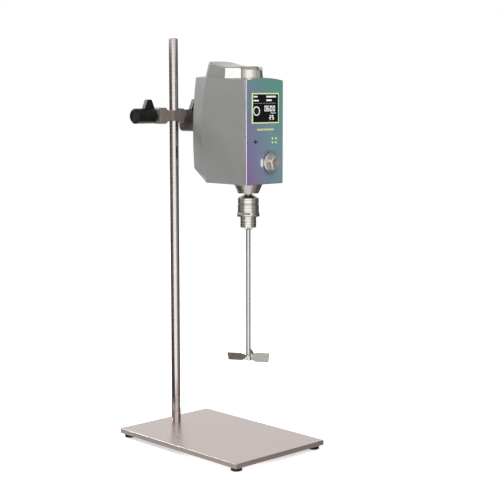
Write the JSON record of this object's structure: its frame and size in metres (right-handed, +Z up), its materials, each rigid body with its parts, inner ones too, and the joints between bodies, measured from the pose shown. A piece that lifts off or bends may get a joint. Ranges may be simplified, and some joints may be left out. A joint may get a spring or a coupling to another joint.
{
  "type": "overhead stirrer",
  "caption": "Bench overhead stirrer: geared motor head with display, control knob and keyed chuck driving a bladed shaft, clamped to a rod on a flat base plate.",
  "frame": {"origin": "on the bench under the middle of the base plate", "axes": "+Z up along the stand rod, -Y towards the front panel, +X to the right of the panel"},
  "size_m": [0.206, 0.3, 0.696],
  "materials": {
    "plate_steel": "brushed stainless sheet",
    "rod_steel": "polished stainless bar",
    "foot_rubber": "moulded rubber",
    "fastener_steel": "zinc-plated steel",
    "bush_nylon": "nylon",
    "clamp_casting": "dark enamelled casting",
    "pad_brass": "turned",
    "knob_plastic": "black moulded phenolic",
    "arm_steel": "dark enamelled steel",
    "housing_paint": "fine grey metallic enamel",
    "front_aluminium": "milled and clear anodised",
    "ring_aluminium": "turned and anodised slate blue",
    "film_colour": "printed film, teal to violet",
    "bezel_colour": "pale yellow-green frame",
    "window_glass": "clear lens",
    "screen_black": "dark screen",
    "lamp_lens": "tinted lens",
    "board_green": "solder mask",
    "polished_metal": "mirror polished",
    "cap_plastic": "grey enamel",
    "gear_steel": "machined steel",
    "deck_aluminium": "milled",
    "motor_steel": "dark motor can",
    "collar_aluminium": "turned and bead blasted",
    "chuck_steel": "ground and plated",
    "inlet_plastic": "black moulded"
  },
  "bodies": {
    "stand": {"base_plate": "plate_steel", "base_feet": "foot_rubber", "foot_screws": "fastener_steel", "stand_rod": "rod_steel", "rod_bolt": "fastener_steel", "rod_washer": "fastener_steel"},
    "height_bush": {"rod_bush": "bush_nylon"},
    "clamp": {"boss_head": "clamp_casting", "pressure_pad": "pad_brass"},
    "rod_clamp": {"rod_clamp_screw": "fastener_steel", "rod_clamp_knob": "knob_plastic"},
    "tilt_lock": {"tilt_lock_screw": "fastener_steel", "tilt_lock_knob": "knob_plastic"},
    "spindle": {"spindle": "gear_steel", "spindle_gear": "gear_steel", "chuck_body": "chuck_steel", "stirrer_shaft": "rod_steel", "propeller": "rod_steel", "propeller_set_screw": "fastener_steel"},
    "rotor": {"motor_rotor": "gear_steel", "motor_pinion": "gear_steel"},
    "sleeve": {"chuck_sleeve": "chuck_steel"},
    "jaw_1": {"chuck_jaw_1": "gear_steel"},
    "jaw_2": {"chuck_jaw_2": "gear_steel"},
    "jaw_3": {"chuck_jaw_3": "gear_steel"},
    "knob_stem": {"encoder_stem": "gear_steel"},
    "knob": {"control_knob": "polished_metal", "knob_set_screw": "fastener_steel"},
    "rocker": {"power_rocker": "inlet_plastic"},
    "head": {"tilt_washer": "fastener_steel", "head_arm": "arm_steel", "arm_screws": "fastener_steel", "housing_shell": "housing_paint", "front_plate": "front_aluminium", "panel_film": "film_colour", "display_bezel": "bezel_colour", "display_window": "window_glass", "display_module": "screen_black", "indicator_lamps": "lamp_lens", "control_board": "board_green", "board_posts": "fastener_steel", "knob_ring": "ring_aluminium", "encoder_body": "gear_steel", "top_cap": "cap_plastic", "cap_band": "polished_metal", "cap_lip": "polished_metal", "gear_deck": "deck_aluminium", "deck_posts": "fastener_steel", "deck_screws": "fastener_steel", "motor_can": "motor_steel", "motor_screws": "fastener_steel", "spindle_collar": "collar_aluminium", "collar_screws": "fastener_steel", "power_inlet": "inlet_plastic", "switch_frame": "inlet_plastic", "lower_bearing": "gear_steel", "upper_bearing": "gear_steel"}
  },
  "joints": [
    {"name": "height_slide", "type": "slide", "parent": "stand", "child": "height_bush", "axis": [0, 0, 1], "range_m": [-0.08, 0.1]},
    {"name": "swivel", "type": "hinge", "parent": "height_bush", "child": "clamp", "pos_m": [0, 0.117, 0.563], "axis": [0, 0, 1], "range_deg": [-90, 90]},
    {"name": "tilt", "type": "hinge", "parent": "clamp", "child": "head", "pos_m": [0.028, 0.117, 0.563], "axis": [1, 0, 0], "range_deg": [-20, 10]},
    {"name": "rod_clamp_turn", "type": "hinge", "parent": "clamp", "child": "rod_clamp", "pos_m": [-0.06, 0.117, 0.563], "axis": [-1, 0, 0], "range_deg": [0, 540]},
    {"name": "tilt_lock_turn", "type": "hinge", "parent": "clamp", "child": "tilt_lock", "pos_m": [0.05, 0.117, 0.563], "axis": [1, 0, 0], "range_deg": [0, 540]},
    {"name": "spindle_spin", "type": "hinge", "parent": "head", "child": "spindle", "pos_m": [0.028, -0.0415, 0.43], "axis": [0, 0, 1], "continuous": true},
    {"name": "motor_spin", "type": "hinge", "parent": "head", "child": "rotor", "pos_m": [0.028, 0.0035, 0.54], "axis": [0, 0, 1], "continuous": true},
    {"name": "sleeve_turn", "type": "hinge", "parent": "spindle", "child": "sleeve", "pos_m": [0.028, -0.0415, 0.405], "axis": [0, 0, 1], "range_deg": [0, 720]},
    {"name": "jaw_1_slide", "type": "slide", "parent": "spindle", "child": "jaw_1", "axis": [0.1736, 0, 0.9848], "range_m": [0, 0.004]},
    {"name": "jaw_2_slide", "type": "slide", "parent": "spindle", "child": "jaw_2", "axis": [-0.0868, 0.1504, 0.9848], "range_m": [0, 0.004]},
    {"name": "jaw_3_slide", "type": "slide", "parent": "spindle", "child": "jaw_3", "axis": [-0.0868, -0.1504, 0.9848], "range_m": [0, 0.004]},
    {"name": "knob_push", "type": "slide", "parent": "head", "child": "knob_stem", "axis": [0, 1, 0], "range_m": [0, 0.001], "stiffness_N_per_m": 900},
    {"name": "knob_turn", "type": "hinge", "parent": "knob_stem", "child": "knob", "pos_m": [0.038, -0.0865, 0.487], "axis": [0, -1, 0], "continuous": true},
    {"name": "power_switch", "type": "hinge", "parent": "head", "child": "rocker", "pos_m": [0.0445, 0.0569, 0.496], "axis": [1, 0, 0], "range_deg": [-14, 0]}
  ],
  "couplings": [
    {"joint": "motor_spin", "follows": "spindle_spin", "ratio": -3},
    {"joint": "jaw_1_slide", "follows": "sleeve_turn", "m_per_rad": 0.00031831},
    {"joint": "jaw_2_slide", "follows": "sleeve_turn", "m_per_rad": 0.00031831},
    {"joint": "jaw_3_slide", "follows": "sleeve_turn", "m_per_rad": 0.00031831}
  ]
}
